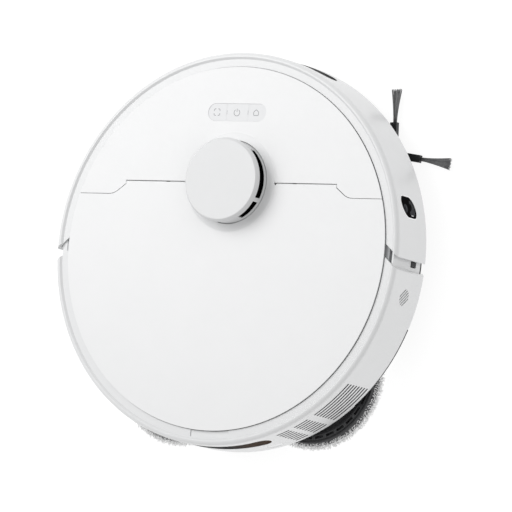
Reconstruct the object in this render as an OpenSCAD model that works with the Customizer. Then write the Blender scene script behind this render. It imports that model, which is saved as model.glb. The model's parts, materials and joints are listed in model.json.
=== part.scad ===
// Robot vacuum and mop with a scanning turret, a sprung bumper and two lifting, spinning mops.
// Origin: centre of the round body, on the floor. +Y is forwards, +X is the robot's right, +Z is up.

/* [Body] */
// Outside radius of the round body
body_r = 175; // [174:0.5:176]
// Height of the flat top above the floor
deck_z = 79; // [78:0.5:80]
// Height of the chassis floor above the ground, which is the ground clearance
belly_z = 13; // [12:0.5:14]
// Height of the lower edge of the side wall
skirt_z = 25; // [24.5:0.5:26]
// Wall thickness of the outer shells
shell_t = 2.4; // [2:0.1:2.6]

/* [Top] */
// Radius of the top panel and the lid, inside the ring
panel_r = 162; // [161:0.5:162]
// Width of the control pill along X
pill_w = 59.4; // [50:0.2:66]
// Depth of the control pill along Y
pill_d = 15.6; // [12:0.2:18]
// Y of the control pill's centre
pill_y = 121.2; // [116:0.2:124]
// Y of the groove between the front panel and the lid
split_y = 58.8; // [58.4:0.1:59.2]

/* [Turret] */
// Y of the turret's axis
turret_y = 59; // [58.6:0.2:59.6]
// Radius of the turret's cap
cap_r = 37.6; // [37.4:0.1:37.6]
// Height of the turret above the flat top
turret_h = 18.3; // [17:0.1:20]

/* [Drive] */
// Radius of a drive wheel with its tyre
wheel_r = 35; // [34:0.5:35]
// Width of a drive wheel
wheel_w = 22; // [18:1:22]
// X of the middle of the right drive wheel
wheel_x = 120; // [119:0.5:121]
// Y of the drive wheels' axis
wheel_y = 1; // [0.5:0.5:1.5]
// Radius of the caster wheel
caster_r = 14; // [13:0.5:14]

/* [Cleaning] */
// Radius of the main brush over its vanes
brush_r = 20; // [18:0.5:20]
// Radius of a mop pad
mop_r = 66; // [64:0.5:66.5]
// X of the right mop's axis
mop_x = 68; // [67.8:0.1:68.6]
// Y of both mops' axes
mop_y = -102.4; // [-103:0.2:-101]
// Reach of the side brush from its axis to the tip of a tuft
side_brush_reach = 59; // [50:1:59]

/* [Hidden] */

$fn = 96;
fit = 0.05;                       // radial clearance of every running shaft

// Shell and tub, all radii from the body's centre
ring_in_r = panel_r + 0.4;        // inner edge of the ring round the panel
shell_in_r = body_r - shell_t;    // inside of the side wall
lip_r = body_r - 3.4;             // inner edge of the wall's turned-in lower lip
edge_r = 4;                       // fillet between the side wall and the ring, and of the lip
tub_r = 168;                      // outside of the chassis tub
tub_t = 2;
tub_top = 58;
floor_t = 2.5;
floor_top = belly_z + floor_t;
bay_z = 26;                       // ceiling of the mop bays
bay_top = bay_z + floor_t;
bay_r = 72;
bay_wall = 2;
skin_t = 2.5;                     // panel and lid
skin_z = deck_z - skin_t;
rim_t = 1.1;                      // thinned rim that the bumper's ring slides under
rim_in_r = 157;
deck_low = 68;                    // structural deck under the lid
deck_top = 70.5;
frame_r = 165.4;

// Lid hinge
hinge_r = 1.6;
hinge_y = split_y - hinge_r;
hinge_z = deck_z - hinge_r;
hinge_end = 108;                  // where the hinge bar ends and the slanted edge starts
hinge_pin_r = 0.6;
hinge_ear_r = 1;
hinge_xs = [-65, 65];
seam = 0.4;                       // open groove between lid and panel

// Turret
turret_top = deck_z + turret_h;
slit_low = deck_z + 4.4;
slit_high = deck_z + 13.8;
post_spans = [[-30, -24], [204, 210], [50, 130], [-118, -62]];
collar_r = 44.4;
skirt_r = 36.9;                   // turret cover below its slit
cove_h = 1.3;                     // rise of the collar towards the turret
belt_z = 73.6;
lidar_motor_pos = [39, 97.5];
head_pulley_r = 20;
motor_pulley_r = 5;

// Bins, tanks and motors
bin_x = [-96, 80];
bin_y = [-76, -14];
bin_z = [30, 66];
bin_t = 1.6;
tank_x = [-45, 45];
tank_y = [-155, -90];
tank_z = [39, 70];
fan_pos = [112, -72];
fan_r = 28;
brush_y = 13;
brush_z = brush_r + 1;
brush_x = [-79, 88];
side_brush_pos = [120.8, 96.2];
tuft_angles = [-7.5, 93, 222.75];
clamp_end = 28.5;

// Drive arms
pivot_y = 50;
pivot_z = 30;
arm_x = [95.5, 105.5];
arm_pin_r = 3;
axle_r = 4;
motor_can_r = 10;
arm_len = norm([pivot_y - wheel_y, pivot_z - wheel_r]);
arm_tilt = atan2(wheel_r - pivot_z, wheel_y - pivot_y);

// Caster
caster_y = 128;
caster_trail = 7;
socket_r = 22.6;

// Mops in the raised position
pad_z = [10.5, 17.2];
holder_z = [17.2, 21.5];
mop_spindle_r = 4;
mop_motor_z = [41, 62];
slot_count = 32;

// Openings in the side wall
vent_groups = [[-55.4, -41.3], [-62.8, -57.8], [-68.8, -64.5]];
vent_count = 8;
vent_pitch = 4.74;
vent_low = deck_z - 44.7;
vent_h = 2.2;
speaker_a = -12.1;
speaker_z = deck_z - 25.8;
rear_win_a = 17.5;                // half the angle of the rear window
rear_win_z = deck_z - 19.3;
rear_win_h = 18;
front_win_a = 28;                 // half the angle of the front window
front_win_z = deck_z - 25.5;
front_win_h = 25;
contact_a = 15;
contact_z = deck_z - 41;
strip_a = [-48, -20.7];
strip_top = skirt_z + 4.2;
side_win_a = 14.2;
side_win_z = deck_z - 23;

// Cheeks behind the gaps where the bumper meets the rear shell
cheek_r = [168.4, 170];
cheek_z = [27.6, 75.2];
cheek_a = [-8.4, 4];
hook_a = [-2.7, -1.2];
hook_z = [36, 44];

screw_spots = [[82, 112], [-82, 112], [148, 38], [-148, 38], [146, -8], [-146, -8], [0, -46]];
rear_screw_spots = [[24, -150], [-24, -150]];
cliff_spots = [[38, 146], [-38, 146], [142, 52], [-142, 52], [146, -28], [-146, -28]];

// ---- shared shapes ----

// Solid cylinder between two heights
module disc(r, z0, z1) {
    translate([0, 0, z0]) cylinder(r = r, h = z1 - z0);
}

// Ring between two radii and two heights
module ring(r_out, r_in, z0, z1) {
    difference() {
        disc(r_out, z0, z1);
        disc(r_in, z0 - 1, z1 + 1);
    }
}

// Box from its lowest to its highest corner
module block(x, y, z) {
    translate([x[0], y[0], z[0]]) cube([x[1] - x[0], y[1] - y[0], z[1] - z[0]]);
}

// Cylinder along X
module rod_x(r, x, y, z) {
    translate([x[0], y, z]) rotate([0, 90, 0]) cylinder(r = r, h = x[1] - x[0]);
}

// Wedge of the body between two angles, under 180 degrees
module wedge(a, z0, z1, reach = 230) {
    mid = (a[0] + a[1]) / 2;
    translate([0, 0, z0])
        linear_extrude(z1 - z0)
            polygon([[0, 0], reach * [cos(a[0]), sin(a[0])], 1.2 * reach * [cos(mid), sin(mid)],
                reach * [cos(a[1]), sin(a[1])]]);
}

// Places its child on the side wall: +Z of the child points outwards, +Y up
module on_wall(a, z, r = body_r) {
    rotate([0, 0, a]) translate([r, 0, z]) rotate([90, 0, 90]) children();
}

// Flat oblong with round ends, centred
module oblong(w, h) {
    union() {
        square([w - h, h], center = true);
        translate([(w - h) / 2, 0]) circle(r = h / 2);
        translate([-(w - h) / 2, 0]) circle(r = h / 2);
    }
}

// Curved band in the side wall with round ends, cut square to the wall's middle
module wall_band(mid_a, half_a, z, h, r_out, r_in) {
    intersection() {
        ring(r_out, r_in, z - h, z + h);
        on_wall(mid_a, z, 0) linear_extrude(body_r + 5) oblong(2 * body_r * sin(half_a), h);
    }
}

// Mirrors its child to the left side when side is -1
module sided(side) {
    mirror([side < 0 ? 1 : 0, 0, 0]) children();
}

module both_sides() {
    for (s = [-1, 1]) sided(s) children();
}

// Points down the rounded lower lip of the side wall
function lip_arc() =
    [for (a = [0 : -8 : -80]) [body_r - edge_r + edge_r * cos(a), skirt_z + edge_r + edge_r * sin(a)]];

// Profile of the ring and the side wall, revolved round the body's axis
module shell_profile() {
    mid = deck_z - 0.2 - edge_r;
    polygon(concat(
        [[ring_in_r, deck_z - 1.6], [body_r - 6, deck_z - 1.8], [body_r - 4.1, deck_z - 0.25]],
        [for (a = [84 : -7 : 0]) [body_r - edge_r + edge_r * cos(a), mid + edge_r * sin(a)]],
        lip_arc(),
        [[lip_r, skirt_z + 1.2], [shell_in_r, skirt_z + edge_r], [shell_in_r, mid - 1]],
        [[shell_in_r - 3, deck_z - 3.1], [ring_in_r, deck_z - 3.4]]));
}

module shell_body() {
    rotate_extrude($fn = 180) shell_profile();
}

// Plan region ahead of the slanted cut where the bumper ends
module bumper_plan() {
    polygon([[150, 18], [190, -16.6], [190, 200], [-190, 200], [-190, -16.6], [-150, 18]]);
}

// Plan region behind the slanted cut where the rear shell starts
module rear_plan() {
    polygon([[150, 6.5], [190, -28], [190, -200], [-190, -200], [-190, -28], [-150, 6.5]]);
}

// Plan outline of the two mop bays and all that lies behind them
module bay_plan(r) {
    union() {
        for (s = [-1, 1]) translate([s * mop_x, mop_y]) circle(r = r);
        translate([-190, -200]) square([380, 200 + mop_y]);
    }
}

// Points of a curve that cuts a corner, from one side of it to the other
function corner_curve(from, corner, to) =
    [for (t = [0 : 0.2 : 1]) (1 - t) * (1 - t) * from + 2 * t * (1 - t) * corner + t * t * to];

// Right half of the front edge of the lid's plan, from the outside to the hinge bar
function lid_edge(front, side, slant, grow) =
    let (low = [120 + grow / 2, side], high = [hinge_end + grow, slant])
    concat([[180, side]],
        corner_curve(low + [5, 0], low, low + 5 * (high - low) / norm(high - low)),
        [high, [hinge_end + grow, front]]);

// Plan of the lid and, grown by the seam, of what the front panel leaves out
module lid_plan(grow) {
    edge = lid_edge((grow > 0 ? split_y : hinge_y) + grow, split_y - 12.3 + grow,
        hinge_y - hinge_r + grow, grow);
    polygon(concat([[-180, -200], [180, -200]], edge,
        [for (i = [len(edge) - 1 : -1 : 0]) [-edge[i][0], edge[i][1]]]));
}

module pill_plan(gap) {
    translate([0, pill_y]) oblong(pill_w - 2 * gap, pill_d - 2 * gap);
}

// Disc of the top skin with its thinned rim
module skin_disc() {
    union() {
        disc(rim_in_r, skin_z, deck_z);
        ring(panel_r, rim_in_r - 1, deck_z - rim_t, deck_z);
    }
}

// ---- chassis ----

module tub_profile() {
    polygon([[0, belly_z], [157, belly_z], [tub_r, belly_z + 9], [tub_r, tub_top],
        [tub_r - tub_t, tub_top], [tub_r - tub_t, belly_z + 10], [156.2, floor_top],
        [0, floor_top]]);
}

module strip_profile() {
    polygon(concat([[tub_r - 1, strip_top], [body_r, strip_top]], lip_arc(),
        [[tub_r - 1, skirt_z]]));
}

// Holes in the chassis floor, for everything that reaches the ground
module floor_openings() {
    low = belly_z - 1;
    high = floor_top + 1;
    both_sides() {
        block([106.5, 134], [-36, 46], [low, high]);
        block([94.5, 107], [-12, 62], [low, high]);
    }
    block([brush_x[0], brush_x[1] + 0.5], [-9, 35], [low, high]);
    block([-59, 59], [65, 102], [low, high]);
    translate([0, caster_y, 0]) disc(socket_r, low, high);
    for (p = cliff_spots)
        translate(p) rotate(atan2(p[1], p[0])) translate([-4, -7.5, low]) cube([8, 15, 6]);
}

module caster_socket() {
    translate([0, caster_y, 0])
        difference() {
            union() {
                ring(socket_r + 2, socket_r, belly_z, 38.5);
                disc(socket_r + 1, 36, 38.5);
                disc(8, 38, 46);
            }
            disc(4 + fit, 30, 50);
        }
}

module base_plate() color("#2b2c2e") {
    difference() {
        union() {
            difference() {
                rotate_extrude($fn = 180) tub_profile();
                translate([0, 0, belly_z - 1]) linear_extrude(bay_z - belly_z + 1) bay_plan(bay_r);
                floor_openings();
            }
            // raised ceiling of the mop bays
            intersection() {
                disc(tub_r - 1, bay_z, bay_top);
                translate([0, 0, bay_z]) linear_extrude(floor_t) bay_plan(bay_r + bay_wall);
            }
            // front walls of the mop bays
            intersection() {
                disc(157, belly_z, bay_top);
                translate([0, 0, belly_z])
                    linear_extrude(bay_top - belly_z)
                        difference() {
                            bay_plan(bay_r + bay_wall);
                            bay_plan(bay_r);
                        }
            }
            caster_socket();
            translate(side_brush_pos) disc(9, belly_z, 19);
            // guide rods for the lifting mop motors
            for (s = [-1, 1]) translate([s * mop_x, mop_y - 23, 0]) disc(2.5, bay_top - 1, 66);
            // brackets that carry the inner ends of the drive arms' pivots
            both_sides() block([60, 63], [pivot_y - 6, pivot_y + 6], [floor_top - 1, pivot_z + 6]);
            for (p = screw_spots) translate(p) disc(4.5, belly_z, belly_z + 11);
            for (p = rear_screw_spots) translate(p) disc(4.5, bay_z, bay_z + 11);
            // dark strip that shows flush in the side wall
            both_sides() intersection() {
                rotate_extrude($fn = 180) strip_profile();
                wedge(strip_a, skirt_z - 1, strip_top + 1);
            }
            // hooks that stop the bumper
            both_sides() intersection() {
                ring(cheek_r[1] + 0.6, tub_r - 1, hook_z[0], hook_z[1]);
                wedge(hook_a, hook_z[0] - 1, hook_z[1] + 1);
            }
        }
        for (p = screw_spots) translate(p) {
            disc(3.2, belly_z - 1, belly_z + 3);
            disc(1.6, belly_z, belly_z + 12);
        }
        for (p = rear_screw_spots) translate(p) {
            disc(3.2, bay_z - 1, bay_z + 3);
            disc(1.6, bay_z, bay_z + 12);
        }
        translate(side_brush_pos) disc(4 + fit, belly_z - 1, 20);
        both_sides() rod_x(arm_pin_r + fit, [59, 64], pivot_y, pivot_z);
        for (s = [-1, 1]) translate([s * mop_x, mop_y, 0]) disc(11.5, bay_z - 1, bay_top + 1);
        on_wall(speaker_a, speaker_z, tub_r - 12) cylinder(r = 10.6, h = 20);
        for (g = vent_groups) wedge(g, vent_low, tub_top + 1);
        both_sides() translate([66, 145, 34]) rotate([-90, 0, 0]) cylinder(r = 2, h = 20);
    }
}

module mid_frame() color("#c9cbcc") {
    difference() {
        union() {
            disc(frame_r - 1, deck_low, deck_top);
            ring(frame_r, frame_r - 2, 56, 75);
            ring(frame_r, 158, 74, 75);
            // hinge ears
            for (x = hinge_xs) {
                rod_x(hinge_ear_r, [x - 1.7, x + 1.7], hinge_y, hinge_z);
                translate([x, hinge_y, (deck_top + hinge_z - 1) / 2])
                    cube([3.4, 2 * hinge_ear_r, hinge_z - deck_top + 1], center = true);
            }
            // feet under the front panel
            for (p = [[-100, 100], [100, 100], [-130, 62], [130, 62], [-40, 143], [40, 143]])
                translate(p) disc(4, deck_top - 1, skin_z);
            // pads under the lid's edge
            for (a = [-150, -120, -60, -30]) rotate(a) translate([155, 0, 0]) disc(3, deck_top - 1, skin_z);
        }
        block([bin_x[0] - 1, bin_x[1] + 1], [bin_y[0] - 1, bin_y[1] + 1], [deck_low - 1, deck_top + 1]);
        block([tank_x[0] - 1, tank_x[1] + 1], [tank_y[0] - 1, tank_y[1] + 1], [deck_low - 1, deck_top + 1]);
        both_sides() block([104.5, 136.5], [-38.5, 48.5], [deck_low - 1, deck_top + 1]);
        translate([0, turret_y, 0]) disc(40, deck_low - 1, deck_top + 1);
        translate(lidar_motor_pos) disc(9, deck_low - 1, deck_top + 1);
        for (x = hinge_xs) rod_x(hinge_pin_r + fit, [x - 3, x + 3], hinge_y, hinge_z);
        on_wall(speaker_a, speaker_z, frame_r - 12) cylinder(r = 10.6, h = 20);
        for (g = vent_groups) wedge(g, 55, deck_low - 1);
    }
}

// ---- outer shells ----

// Wall piece that closes the gap behind the bumper's end, joined to the shell at its rear
module cheek() {
    difference() {
        intersection() {
            union() {
                ring(cheek_r[1], cheek_r[0], cheek_z[0], cheek_z[1]);
                intersection() {
                    ring(shell_in_r + 0.2, cheek_r[0], cheek_z[0] + 2, cheek_z[1] - 1);
                    wedge([cheek_a[0], cheek_a[0] + 1.6], 0, deck_z);
                }
            }
            wedge(cheek_a, cheek_z[0], cheek_z[1]);
        }
        wedge([hook_a[0] - 0.2, hook_a[1] + 0.2], hook_z[0] - 0.3, hook_z[1] + 0.3);
    }
}

module rear_shell() color("#f1f2f2") {
    both_sides() cheek();
    // ledge under the left end of the bumper's ring
    sided(-1) intersection() {
        ring(cheek_r[1], frame_r + 0.2, cheek_z[1] - 1.2, cheek_z[1]);
        wedge(cheek_a, cheek_z[0], cheek_z[1]);
    }
    difference() {
        intersection() {
            shell_body();
            translate([0, 0, skirt_z - 1]) linear_extrude(deck_z) rear_plan();
        }
        // exhaust vents
        for (g = vent_groups, i = [0 : vent_count - 1])
            wedge(g, vent_low + i * vent_pitch - vent_h / 2, vent_low + i * vent_pitch + vent_h / 2);
        // speaker grille
        on_wall(speaker_a, speaker_z, body_r - 8)
            intersection() {
                cylinder(r = 7.5, h = 16);
                rotate(-45) for (i = [-2 : 2]) translate([-10, i * 2.6 - 0.7, 0]) cube([20, 1.4, 16]);
            }
        on_wall(-90, rear_win_z, 100) linear_extrude(100) oblong(2 * body_r * sin(rear_win_a), rear_win_h);
        for (s = [-1, 1])
            on_wall(-90 + s * contact_a, contact_z, body_r - 8) linear_extrude(16) oblong(15.4, 6.4);
        both_sides() wedge([strip_a[0] - 0.3, strip_a[1] + 0.3], skirt_z - 1, strip_top + 0.3);
        // finger notch behind the lid
        block([-19.5, 19.5], [-167.3, -158], [deck_z - 2.6, deck_z + 1]);
    }
}

module front_panel() color("#f4f5f5") {
    difference() {
        skin_disc();
        translate([0, 0, skin_z - 1]) linear_extrude(skin_t + 2) lid_plan(seam);
        translate([0, turret_y, 0]) disc(collar_r + 0.15, skin_z - 1, deck_z + 1);
        translate([0, 0, skin_z - 1]) linear_extrude(skin_t + 2) pill_plan(0);
    }
}

module lid() color("#f4f5f5") {
    difference() {
        union() {
            intersection() {
                skin_disc();
                union() {
                    translate([0, 0, deck_z - 0.4]) linear_extrude(1) lid_plan(0);
                    translate([0, 0, skin_z - 1])
                        linear_extrude(skin_t + 0.8) offset(delta = -0.8) lid_plan(0);
                }
            }
            both_sides() rod_x(hinge_r, [46.4, hinge_end], hinge_y, hinge_z);
        }
        translate([0, turret_y, 0]) disc(collar_r + 0.35, skin_z - 3, deck_z + 1);
        for (x = hinge_xs) {
            block([x - 2, x + 2], [hinge_y - 3, hinge_y + 4], [skin_z - 4, deck_z - 0.45]);
            rod_x(hinge_pin_r, [x - 9, x + 9], hinge_y, hinge_z);
        }
    }
}

module hinge_pins() color("#b9bbbd") {
    for (x = hinge_xs) rod_x(hinge_pin_r, [x - 8, x + 8], hinge_y, hinge_z);
}

// ---- turret ----

// Height of the collar's cove over the flat top, at a share of its width from the outside
function cove_rise(t) = cove_h * (0.45 * t + 0.55 * t * t);

module turret_collar() color("#eceded") {
    inner = skirt_r + 0.5;
    translate([0, turret_y, 0])
        rotate_extrude()
            polygon(concat([[inner, 76.2], [collar_r, 76.2], [collar_r, deck_z - 0.1]],
                [for (t = [0 : 0.125 : 1]) [collar_r - t * (collar_r - inner), deck_z + cove_rise(t)]]));
}

module lidar_base() color("#3a3b3d") {
    translate([0, turret_y, 0]) {
        difference() {
            disc(49, deck_top, 72);
            // cut clear of the hinge side and of the motor's mount
            translate([lidar_motor_pos[0], lidar_motor_pos[1] - turret_y, 0]) disc(9, 60, 73);
        }
        disc(8, 71, 84);
        // posts that hold the collar
        for (a = [20, 160, 250, 290]) rotate(a) translate([42, 0, 0]) disc(1.8, 71, 76.2);
    }
}

module lidar_head() color("#1c1d1f") {
    translate([0, turret_y, 0])
        difference() {
            union() {
                disc(head_pulley_r, 72.5, 75);
                disc(12, 74, 81);
                disc(34, 80, 93.4);
            }
            disc(8 + fit, 72, 85);
            // emitter and receiver windows
            for (x = [-9, 9])
                translate([x, 30, (slit_low + slit_high) / 2]) rotate([-90, 0, 0]) cylinder(r = 3.4, h = 8);
        }
}

module lidar_motor() color("#8f9294") {
    translate(lidar_motor_pos) {
        disc(8, 58, 72);
        disc(1.5, 71, 75.4);
        disc(motor_pulley_r, 72.5, 75.4);
    }
}

module lidar_belt() color("#202020") {
    d = [lidar_motor_pos[0], lidar_motor_pos[1] - turret_y];
    translate([0, turret_y, belt_z - 0.6])
        linear_extrude(1.2)
            difference() {
                hull() {
                    circle(r = head_pulley_r + 1.3, $fn = 48);
                    translate(d) circle(r = motor_pulley_r + 1.3, $fn = 32);
                }
                hull() {
                    circle(r = head_pulley_r + 0.15, $fn = 48);
                    translate(d) circle(r = motor_pulley_r + 0.15, $fn = 32);
                }
            }
}

module turret_cover() color("#f3f4f4") {
    translate([0, turret_y, 0]) {
        // skirt below the scanning slit
        rotate_extrude()
            polygon([[skirt_r, 76.8], [skirt_r, slit_low - 0.5], [skirt_r - 0.2, slit_low],
                [skirt_r - 0.7, slit_low], [skirt_r - 1.6, slit_low - 3], [skirt_r - 1.6, 76.8]]);
        // cap
        rotate_extrude()
            polygon([[cap_r, slit_high], [cap_r, slit_high + 1.4], [cap_r - 0.2, slit_high + 2],
                [cap_r - 1.9, turret_top - 0.2], [cap_r - 2.3, turret_top], [0, turret_top],
                [0, turret_top - 1.8], [34.6, turret_top - 1.8], [36.2, slit_high]]);
        // posts across the slit
        for (span = post_spans)
            intersection() {
                ring(skirt_r - 0.1, 35.6, slit_low - 1.5, slit_high + 1);
                wedge(span, slit_low - 2, slit_high + 2);
            }
    }
}

// ---- controls ----

// One third of the control pill, with the stem that reaches its switch
module pill_key(x0, x1) {
    intersection() {
        translate([0, 0, 76.6]) linear_extrude(2) pill_plan(0.08);
        block([x0, x1], [pill_y - 20, pill_y + 20], [70, 80]);
    }
    translate([(x0 + x1) / 2, pill_y, 0]) disc(2, 74.65, 77);
}

module power_key() color("#e7e9ea") pill_key(-10.95, 11.25);
module spot_key() color("#e7e9ea") pill_key(-40, -11.03);
module home_key() color("#e7e9ea") pill_key(11.33, 40);

module key_board() color("#2f5d46") {
    block([-34, 34], [pill_y - 9, pill_y + 9], [71.4, 73]);
    for (x = [-30, 30]) translate([x, pill_y, 0]) disc(2.5, deck_top, 71.4);
    for (x = [-25.5, 0.2, 25.7]) translate([x, pill_y, 73.5]) cube([6, 6, 1], center = true);
}

// ---- dust path ----

module dust_bin() color("#5b5e62") {
    difference() {
        block(bin_x, bin_y, bin_z);
        block([bin_x[0] + bin_t, bin_x[1] - bin_t], [bin_y[0] + bin_t, bin_y[1] - bin_t],
            [bin_z[0] + bin_t, bin_z[1] + 1]);
        // inlet from the brush, outlet to the fan
        block([-30, 30], [bin_y[1] - 3, bin_y[1] + 1], [36, 44]);
        block([bin_x[1] - 3, bin_x[1] + 1], [-62, -38], [36, 60]);
    }
}

module bin_cover() color("#a9adb1") {
    difference() {
        union() {
            block([bin_x[0], bin_x[1]], [bin_y[0], bin_y[1]], [66.1, 69]);
            block([-60, 44], [-66, -24], [69, 71.5]);
        }
        // finger wells on both sides of the grip
        block([-50, 34], [-62, -48], [67.5, 73]);
        block([-50, 34], [-42, -28], [67.5, 73]);
    }
}

module filter() color("#ecebe6") {
    difference() {
        block([68, 78.2], [-68, -22], [33, 64]);
        for (i = [0 : 7]) block([67, 72], [-65 + i * 5.4, -62.4 + i * 5.4], [36, 61]);
    }
}

module fan_motor() color("#36383b") {
    translate(fan_pos) {
        difference() {
            disc(fan_r, 31, 64);
            disc(14, 58, 65);
        }
        disc(8, 57, 62);
    }
    block([81, 90], [-60, -40], [38, 58]);
}

// ---- electronics ----

module main_board() color("#2f5d46") {
    block([-76, 76], [68, 104], [53, 54.6]);
    for (p = [[-50, 78], [-20, 90], [14, 76], [48, 92]]) translate([p[0], p[1], 54.6]) cube([14, 12, 1.6]);
    for (x = [-72, 72], y = [70, 102]) translate([x, y, 0]) disc(1.8, floor_top, 53);
}

module battery() color("#3d6fa3") {
    difference() {
        block([-57, 57], [67, 101], [17, 50]);
        for (x = [-38, -19, 0, 19, 38]) block([x - 0.8, x + 0.8], [66, 70], [16, 51]);
    }
}

module battery_cover() color("#2b2c2e") {
    block([-58.6, 58.6], [65.4, 101.6], [belly_z, floor_top - 0.2]);
    for (x = [-50, 50]) translate([x, 83.5, 0]) disc(3, floor_top - 1, 17);
}

// ---- main brush ----

module brush_housing() color("#303236") {
    difference() {
        block([-92, 92], [-12, 38], [floor_top, 46]);
        rod_x(brush_r + 3, [brush_x[0], brush_x[1] + 0.5], brush_y, brush_z);
        block([brush_x[0], brush_x[1] + 0.5], [brush_y - brush_r - 1, brush_y + brush_r + 1],
            [floor_top - 1, brush_z]);
        rod_x(5 + fit, [-93, brush_x[0] + 1], brush_y, brush_z);
        rod_x(4 + fit, [brush_x[1], 93], brush_y, brush_z);
        // duct up into the dust bin
        block([-30, 30], [-13, 6], [36, 44]);
    }
}

module brush_guard() color("#242527") {
    difference() {
        block([-91, 91], [-14, 40], [belly_z - 2, belly_z]);
        block([brush_x[0] - 0.4, brush_x[1] + 0.9], [-9, 35], [belly_z - 3, belly_z + 1]);
    }
    // latch tabs
    for (x = [-60, 60]) block([x - 8, x + 8], [40, 43], [belly_z - 2, belly_z]);
}

module brush_motor() color("#8f9294") {
    rod_x(9.5, [-56, -24], 51, 31);
    block([-58, -56], [42, 60], [floor_top, 40]);
    rod_x(3, [-59.5, -58], 51, 31);
}

module brush_core() color("#2a2a2c") {
    rod_x(11, [brush_x[0] + 0.5, brush_x[1]], brush_y, brush_z);
    rod_x(5, [-90, brush_x[0] + 1], brush_y, brush_z);
    rod_x(4, [brush_x[1] - 1, 91.5], brush_y, brush_z);
}

module brush_vanes() color("#4a4d51") {
    span = brush_x[1] - brush_x[0] - 4;
    translate([brush_x[0] + 2, brush_y, brush_z])
        rotate([0, 90, 0])
            linear_extrude(span, twist = 100, slices = 20, segments = 0, $fn = 12)
                for (i = [0 : 5]) rotate(i * 60) translate([11.1, -1]) square([brush_r - 11.1, 2]);
}

// ---- side brush ----

module side_brush_motor() color("#8f9294") {
    translate(side_brush_pos) {
        difference() {
            disc(11.2, 23.6, 44);
            disc(4 + fit, 20, 31);
        }
        block([-16, -10], [-8, 8], [24, 40]);
        block([-16, -12], [-8, 8], [floor_top, 40]);
    }
}

module side_brush_hub() color("#2a2a2c") {
    translate(side_brush_pos) {
        disc(4, 6, 30);
        disc(10, 6.5, 12.4);
        for (a = tuft_angles) rotate(a) block([8, clamp_end], [-3.3, 3.3], [5, 9.5]);
    }
}

// Points along one edge of a tuft, which flares from its clamp to its tip
function tuft_edge(side, steps) =
    [for (t = steps) [clamp_end + t * (side_brush_reach - clamp_end), side * (1.6 + 3.7 * pow(t, 1.6))]];

module side_brush_tufts() color("#6a6c6e") {
    translate(side_brush_pos)
        for (a = tuft_angles)
            rotate(a)
                translate([0, 0, 4.6])
                    linear_extrude(2.8)
                        polygon(concat(tuft_edge(-1, [0 : 0.125 : 1]), tuft_edge(1, [1 : -0.125 : 0])));
}

// ---- bumper ----

// Lens shape with its two points cut square
module lens_plan(grow) {
    intersection() {
        translate([-5.5, 3.2]) circle(r = 16 + grow);
        translate([5.5, -3.2]) circle(r = 16 + grow);
        square([18.8 + 2 * grow, 25.8 + 2 * grow], center = true);
    }
}

// Leaf outline: the lens with its lower point strongly rounded
module leaf_plan(grow) {
    union() {
        offset(r = 3) offset(delta = -3) lens_plan(grow);
        intersection() {
            lens_plan(grow);
            translate([-20, -1]) square([40, 20]);
        }
    }
}

module side_window_shape(grow, r0, depth) {
    on_wall(side_win_a, side_win_z, r0) linear_extrude(depth) leaf_plan(grow);
}

module bumper() color("#f1f2f2") {
    difference() {
        intersection() {
            shell_body();
            translate([0, 0, skirt_z - 1]) linear_extrude(deck_z) bumper_plan();
        }
        on_wall(90, front_win_z, 100) linear_extrude(100) oblong(2 * body_r * sin(front_win_a), front_win_h);
        side_window_shape(0, body_r - 12, 20);
    }
}

module bumper_windows() color("#141517") {
    wall_band(90, front_win_a - 0.05, front_win_z, front_win_h - 0.2, body_r - 0.2, shell_in_r + 0.2);
    intersection() {
        ring(body_r - 0.2, shell_in_r + 0.2, skirt_z, deck_z);
        side_window_shape(-0.1, body_r - 12, 20);
    }
}

module bumper_springs() color("#b9bbbd") {
    for (x = [-20, 20], i = [0 : 2])
        translate([x, 167.95 + i * 1.15, 36])
            rotate([90, 0, 0])
                rotate_extrude()
                    translate([3, 0]) circle(r = 0.45, $fn = 16);
}

module bumper_switches() color("#1f2022") {
    both_sides() {
        block([60, 72], [136, 145], [30, 38]);
        translate([66, 144, 34]) rotate([-90, 0, 0]) cylinder(r = 1.5, h = 11.5);
    }
}

// ---- fixed details of the rear ----

module rear_window() color("#1d1714") {
    wall_band(-90, rear_win_a - 0.05, rear_win_z, rear_win_h - 0.2, body_r - 0.2, shell_in_r);
}

module charging_contacts() color("#c2c4c6") {
    for (s = [-1, 1])
        intersection() {
            ring(body_r - 0.1, body_r - 5, skirt_z, deck_z);
            on_wall(-90 + s * contact_a, contact_z, body_r - 8) linear_extrude(16) oblong(15, 6);
        }
}

module speaker() color("#26272a") {
    on_wall(speaker_a, speaker_z, tub_r - 14) {
        cylinder(r = 10, h = 6);
        cylinder(r = 9, h = 16);
    }
}

module cliff_sensors() color("#17181a") {
    for (p = cliff_spots)
        translate(p)
            rotate(atan2(p[1], p[0]))
                translate([-3.8, -7.3, belly_z - 0.3])
                    cube([7.6, 14.6, 7]);
}

// ---- water and mops ----

module water_tank() color("#9aa1a8") {
    difference() {
        block(tank_x, tank_y, tank_z);
        block([tank_x[0] + 1.6, tank_x[1] - 1.6], [tank_y[0] + 1.6, tank_y[1] - 1.6],
            [tank_z[0] + 1.6, tank_z[1] - 1.6]);
        translate([20, -106, 0]) disc(8, tank_z[1] - 3, tank_z[1] + 1);
    }
    translate([20, -106, 0]) disc(7.9, tank_z[1] - 1.6, tank_z[1] + 2);
}

module water_pump() color("#3a3b3d") {
    translate([-118, -64, 0]) {
        disc(12, bay_top, 42);
        disc(8, 42, 56);
    }
}

module mop_lift_motor() color("#8f9294") {
    block([90, 102], [-122, -110], [bay_top, 46]);
    translate([96, -116, 0]) disc(3, 46, 52);
}

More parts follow.
